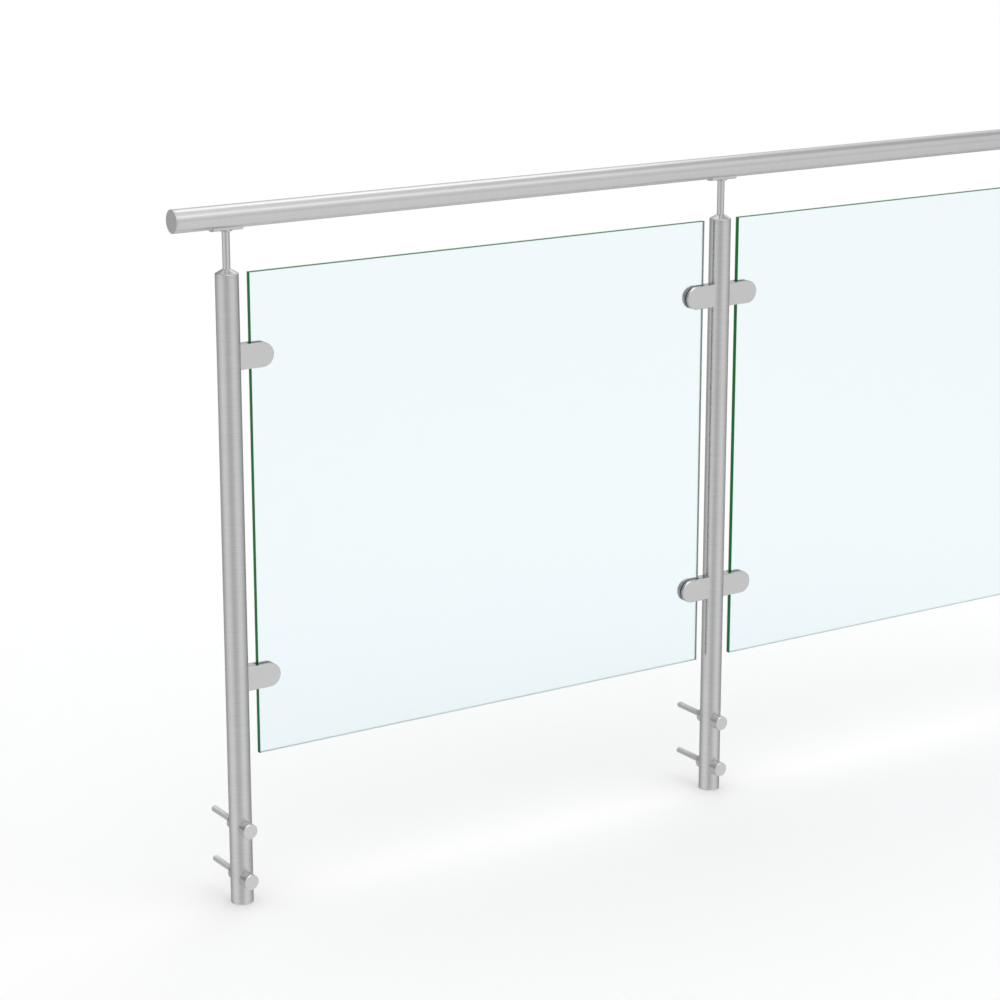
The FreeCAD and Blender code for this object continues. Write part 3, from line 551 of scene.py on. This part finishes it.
class BALUSTRADE_OT_fasteners(bpy.types.Operator):
    """Turn the cap nuts and spacers, and give the screws and rivet nuts plain steel"""

    bl_idname = "balustrade.fasteners"
    bl_label = "Finish Fasteners"

    def execute(self, context):
        finish = context.scene.balustrade_steel
        turned = grind_steel("cap_nut_steel", finish, self.from_fixing_axis, lambda x, y, z: (y, y),
                             contrast=0.4, shade=1.03)
        dress(turned, ["anchor_cap_nuts", "wall_spacers"])
        plain = grind_steel("screw_steel", finish, lambda x, y, z: y, lambda x, y, z: (x, z),
                            contrast=0.5, shade=0.9)
        dress(plain, ["clamp_cover_screws", "clamp_post_screws", "post_rivet_nuts", "saddle_screws"])
        return {"FINISHED"}

    @staticmethod
    def from_fixing_axis(x, y, z):
        """Distance from the axis of the nearest cap nut."""
        across = from_each_axis(POST_PITCH, x)
        up = from_each_axis(FIXING_PITCH, z + FIXING_PITCH / 2)
        return (across * across + up * up) ** 0.5


class BALUSTRADE_OT_anchor_studs(bpy.types.Operator):
    """Make the anchor studs, with a cut thread on the part behind the spacers"""

    bl_idname = "balustrade.anchor_studs"
    bl_label = "Make Anchor Studs"

    def execute(self, context):
        sizes = context.scene.balustrade_thread
        material = grind_steel("stud_steel", context.scene.balustrade_steel,
                               lambda x, y, z: y, lambda x, y, z: (x, z), contrast=0.5, shade=0.92)
        tree = self.thread_tree(sizes)
        inputs = {
            "Radius": ANCHOR_RADIUS, "Depth": sizes.depth, "Pitch": sizes.pitch, "Bevel": sizes.bevel,
            "Length": ANCHOR_BOX[1].y - sizes.tip_clearance, "Neck Radius": ANCHOR_RADIUS - sizes.shoulder,
            "Neck Length": -ANCHOR_BOX[0].y, "Post Pitch": POST_PITCH, "Fixing Pitch": FIXING_PITCH,
            "Material": material,
        }
        piece = shape_from_tree("threaded_anchor_studs", tree, inputs)
        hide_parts("anchor_studs")
        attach(piece, "root")
        return {"FINISHED"}

    @staticmethod
    def thread_tree(sizes):
        """A stud at each cap nut: a grid rolled round Y, with its rows pushed in along the thread."""
        tree = bpy.data.node_groups.new("Threaded Stud", "GeometryNodeTree")
        tree.interface.new_socket("Geometry", in_out="OUTPUT", socket_type="NodeSocketGeometry")
        for name in ("Radius", "Depth", "Pitch", "Bevel", "Length", "Neck Radius", "Neck Length",
                     "Post Pitch", "Fixing Pitch"):
            tree.interface.new_socket(name, in_out="INPUT", socket_type="NodeSocketFloat")
        tree.interface.new_socket("Material", in_out="INPUT", socket_type="NodeSocketMaterial")
        given = tree.nodes.new("NodeGroupInput").outputs

        def add(kind, settings=None, values=None, output=0):
            node = tree.nodes.new(kind)
            for name, setting in (settings or {}).items():
                setattr(node, name, setting)
            for key, value in (values or {}).items():
                if isinstance(value, bpy.types.NodeSocket):
                    tree.links.new(value, node.inputs[key])
                else:
                    node.inputs[key].default_value = value
            return node.outputs[output]

        def math_of(operation, *values):
            return add("ShaderNodeMath", {"operation": operation}, dict(enumerate(values)))

        # A turn more than the length, because each row climbs by one pitch on its way round, and one row
        # more at each end, to close it
        turns = math.ceil(ANCHOR_BOX[1].y / sizes.pitch) + 1
        rows = turns * sizes.rows + 2
        # The grid is one unit long and wide, with its middle at zero
        half = 0.5
        grid = add("GeometryNodeMeshGrid", values={
            "Size X": 1.0, "Size Y": 1.0, "Vertices X": rows + 1, "Vertices Y": sizes.sides + 1})
        spot = add("GeometryNodeInputPosition")
        along = add("ShaderNodeSeparateXYZ", values={0: spot}, output="X")
        around = add("ShaderNodeSeparateXYZ", values={0: spot}, output="Y")
        turn = add("ShaderNodeMapRange", {"clamp": True}, {
            "Value": along, "From Min": 1 / rows - half, "From Max": half - 1 / rows,
            "To Min": 0.0, "To Max": float(turns)})
        climb = math_of("SUBTRACT", math_of("ADD", turn, around), half)
        reach = math_of("MULTIPLY", climb, given["Pitch"])
        reach = math_of("MINIMUM", math_of("MAXIMUM", reach, 0.0), given["Length"])
        angle = math_of("MULTIPLY", around, math.tau)
        # A turn goes down one flank of the thread and up the other
        wave = math_of("PINGPONG", math_of("MULTIPLY", turn, 2.0), 1.0)
        cut = math_of("MULTIPLY", wave, given["Depth"])
        threaded = math_of("SUBTRACT", given["Radius"], cut)
        to_end = math_of("MINIMUM", reach, math_of("SUBTRACT", given["Length"], reach))
        bevelled = math_of("ADD", math_of("SUBTRACT", given["Radius"], given["Bevel"]), to_end)
        radius = math_of("MINIMUM", threaded, bevelled)
        # The outermost points of both ends meet on the axis
        inner = math_of("LESS_THAN", math_of("ABSOLUTE", along), half - half / rows)
        radius = math_of("MULTIPLY", radius, inner)
        rolled = add("ShaderNodeCombineXYZ", values={
            "X": math_of("MULTIPLY", radius, math_of("COSINE", angle)),
            "Y": reach,
            "Z": math_of("MULTIPLY", radius, math_of("SINE", angle))})
        stud = add("GeometryNodeSetPosition", values={"Geometry": grid, "Position": rolled})
        stud = add("GeometryNodeMergeByDistance", values={"Geometry": stud, "Distance": MERGE_DISTANCE})
        stud = add("GeometryNodeSetShadeSmooth", {"domain": "FACE"}, {
            "Geometry": stud, "Shade Smooth": True})
        edge_angle = add("GeometryNodeInputMeshEdgeAngle", output="Unsigned Angle")
        stud = add("GeometryNodeSetShadeSmooth", {"domain": "EDGE"}, {
            "Geometry": stud, "Shade Smooth": math_of("LESS_THAN", edge_angle, SMOOTH_ANGLE)})
        neck = add("GeometryNodeMeshCylinder", values={
            "Vertices": sizes.sides, "Radius": given["Neck Radius"], "Depth": given["Neck Length"]})
        neck_middle = add("ShaderNodeCombineXYZ", values={
            "Y": math_of("MULTIPLY", given["Neck Length"], -0.5)})
        quarter_turn = (math.pi / 2, 0, 0)
        neck = add("GeometryNodeTransform", values={
            "Geometry": neck, "Translation": neck_middle, "Rotation": quarter_turn})
        whole = tree.nodes.new("GeometryNodeJoinGeometry")
        tree.links.new(stud, whole.inputs[0])
        tree.links.new(neck, whole.inputs[0])
        places = add("GeometryNodeMeshGrid", values={
            "Size X": math_of("MULTIPLY", given["Post Pitch"], POSTS - 1.0),
            "Size Y": given["Fixing Pitch"],
            "Vertices X": POSTS, "Vertices Y": FIXINGS_PER_POST})
        places = add("GeometryNodeTransform", values={"Geometry": places, "Rotation": quarter_turn})
        studs = add("GeometryNodeInstanceOnPoints", values={"Points": places, "Instance": whole.outputs[0]})
        studs = add("GeometryNodeRealizeInstances", values={"Geometry": studs})
        studs = add("GeometryNodeSetMaterial", values={"Geometry": studs, "Material": given["Material"]})
        end = tree.nodes.new("NodeGroupOutput")
        tree.links.new(studs, end.inputs[0])
        return tree


def shape_from_tree(name, tree, inputs):
    """Runs a geometry tree with its inputs set, and keeps the result as a plain mesh in a new object."""
    piece = bpy.data.objects.new(name, bpy.data.meshes.new(name))
    bpy.context.scene.collection.objects.link(piece)
    modifier = piece.modifiers.new(name, "NODES")
    modifier.node_group = tree
    for item in tree.interface.items_tree:
        if item.in_out == "INPUT":
            modifier[item.identifier] = inputs[item.name]
    seen = piece.evaluated_get(bpy.context.evaluated_depsgraph_get())
    mesh = bpy.data.meshes.new_from_object(seen)
    piece.modifiers.remove(modifier)
    piece.data = mesh
    if not mesh.polygons:
        raise RuntimeError(f"{name} came out empty")
    return piece


class BALUSTRADE_OT_studio(bpy.types.Operator):
    """Set up the floor, the light and the camera"""

    bl_idname = "balustrade.studio"
    bl_label = "Set Up Studio"

    def execute(self, context):
        settings = context.scene.balustrade_studio
        context.scene.view_settings.view_transform = "Standard"
        self.floor(context.scene, settings)
        self.world(context.scene, settings)
        self.lamp(context.scene, "back_lamp", settings.back_lamp_place, settings.back_lamp_size,
                  settings.back_lamp_power)
        self.lamp(context.scene, "front_lamp", settings.front_lamp_place, settings.front_lamp_size,
                  settings.front_lamp_power)
        self.camera(context.scene, settings)
        return {"FINISHED"}

    @staticmethod
    def mirrored(tree):
        """1 for what is seen in a polished piece, and 0 for the rest."""
        depth = tree.node("ShaderNodeLightPath", output="Glossy Depth")
        return depth.math("MINIMUM", depth, 1.0)

    def floor(self, scene, settings):
        """A pale floor at the feet of the posts."""
        half = settings.floor_width / 2
        mesh = bpy.data.meshes.new("floor")
        corners = ((-half, -half), (half, -half), (half, half), (-half, half))
        mesh.from_pydata([(x, y, FOOT_Z) for x, y in corners], [], [range(len(corners))])
        floor = bpy.data.objects.new("floor", mesh)
        scene.collection.objects.link(floor)
        material, tree = new_material("floor_paint")
        x, y, _ = tree.place()
        far = tree.smooth((x * x + y * y) ** 0.5, *settings.floor_fade)
        colour = tree.blend(far, rgba(settings.floor_colour), (1.0, 1.0, 1.0, 1.0))
        paint = tree.node("ShaderNodeBsdfDiffuse", values={"Color": colour})
        absent = tree.node("ShaderNodeBsdfTransparent")
        end_material(tree, tree.node("ShaderNodeMixShader", values=[self.mirrored(tree), paint, absent]))
        mesh.materials.append(material)

    def world(self, scene, settings):
        """A white room. Polished pieces see the grey gaps between its soft boxes too."""
        scene.world = bpy.data.worlds.new("white_room")
        tree = Tree(scene.world)
        direction = tree.node("ShaderNodeTexCoord", output="Generated")
        x, y, z = (tree.node("ShaderNodeSeparateXYZ", values=[direction], output=axis) for axis in "XYZ")
        level = (x * x + y * y) ** 0.5
        toward = (x * math.sin(settings.camera_azimuth) - y * math.cos(settings.camera_azimuth)) / level
        angle = toward.math("ARCCOSINE", toward)
        rise = tree.smooth(x, *LEFT_LIMITS) * LEFT_RISE
        seen = {"x": x, "y": y, "z": z, "angle": angle, "lowered": z - rise}
        grey = ROOM_LEVEL
        for change, steps in ROOM_PARTS.values():
            for coordinate, start, full in steps:
                change = tree.smooth(seen[coordinate], start, full) * change
            grey = change + grey
        shade = 1.0 - self.mirrored(tree) * (1.0 - grey)
        light = tree.node("ShaderNodeBackground", values={"Color": shade, "Strength": 1.0})
        tree.node("ShaderNodeOutputWorld", values={"Surface": light})

    @staticmethod
    def lamp(scene, name, place, size, power):
        """A long soft lamp that hangs along the balustrade and faces its handrail."""
        light = bpy.data.lights.new(name, "AREA")
        light.shape = "RECTANGLE"
        light.size, light.size_y = size
        light.energy = power
        lamp = bpy.data.objects.new(name, light)
        lamp.location = place
        aim = Vector((lamp.location.x, RAIL_Y, RAIL_Z)) - lamp.location
        lamp.rotation_euler = aim.to_track_quat("-Z", "Y").to_euler()
        lamp.visible_camera = False
        scene.collection.objects.link(lamp)

    @staticmethod
    def camera(scene, settings):
        """The camera, a little above the handrail and to the left."""
        lens = bpy.data.cameras.new("camera")
        lens.lens = settings.camera_lens
        camera = bpy.data.objects.new("camera", lens)
        camera.location = settings.camera_place
        level = math.cos(settings.camera_elevation)
        back = Vector((
            math.sin(settings.camera_azimuth) * level,
            -math.cos(settings.camera_azimuth) * level,
            math.sin(settings.camera_elevation)))
        camera.rotation_euler = back.to_track_quat("Z", "Y").to_euler()
        scene.collection.objects.link(camera)
        scene.camera = camera


GROUPS = {
    "balustrade_steel": SteelFinish,
    "balustrade_glass": GlassFinish,
    "balustrade_rubber": RubberFinish,
    "balustrade_thread": ThreadSizes,
    "balustrade_studio": StudioSettings,
}
OPERATORS = (
    BALUSTRADE_OT_posts,
    BALUSTRADE_OT_handrail,
    BALUSTRADE_OT_panes,
    BALUSTRADE_OT_clamps,
    BALUSTRADE_OT_fasteners,
    BALUSTRADE_OT_anchor_studs,
    BALUSTRADE_OT_studio,
)


class BALUSTRADE_PT_sidebar(bpy.types.Panel):
    """Lists the steps that finish the balustrade"""

    bl_idname = "BALUSTRADE_PT_sidebar"
    bl_label = "Glass Balustrade"
    bl_space_type = "VIEW_3D"
    bl_region_type = "UI"
    bl_category = "Balustrade"

    def draw(self, context):
        for operator in OPERATORS:
            self.layout.operator(operator.bl_idname)
        for group, kind in GROUPS.items():
            box = self.layout.box()
            box.label(text=kind.__doc__)
            for name in kind.__annotations__:
                box.prop(getattr(context.scene, group), name)


def register():
    """Adds the settings, the steps and the panel to Blender."""
    for group, kind in GROUPS.items():
        bpy.utils.register_class(kind)
        setattr(bpy.types.Scene, group, bpy.props.PointerProperty(type=kind))
    for kind in (*OPERATORS, BALUSTRADE_PT_sidebar):
        bpy.utils.register_class(kind)


def unregister():
    """Takes them out again."""
    for kind in (BALUSTRADE_PT_sidebar, *reversed(OPERATORS)):
        bpy.utils.unregister_class(kind)
    for group, kind in GROUPS.items():
        delattr(bpy.types.Scene, group)
        bpy.utils.unregister_class(kind)


def main():
    """Finishes the whole balustrade."""
    register()
    bpy.ops.balustrade.posts()
    bpy.ops.balustrade.handrail()
    bpy.ops.balustrade.panes()
    bpy.ops.balustrade.clamps()
    bpy.ops.balustrade.fasteners()
    bpy.ops.balustrade.anchor_studs()
    bpy.ops.balustrade.studio()


if __name__ == "__main__":
    main()
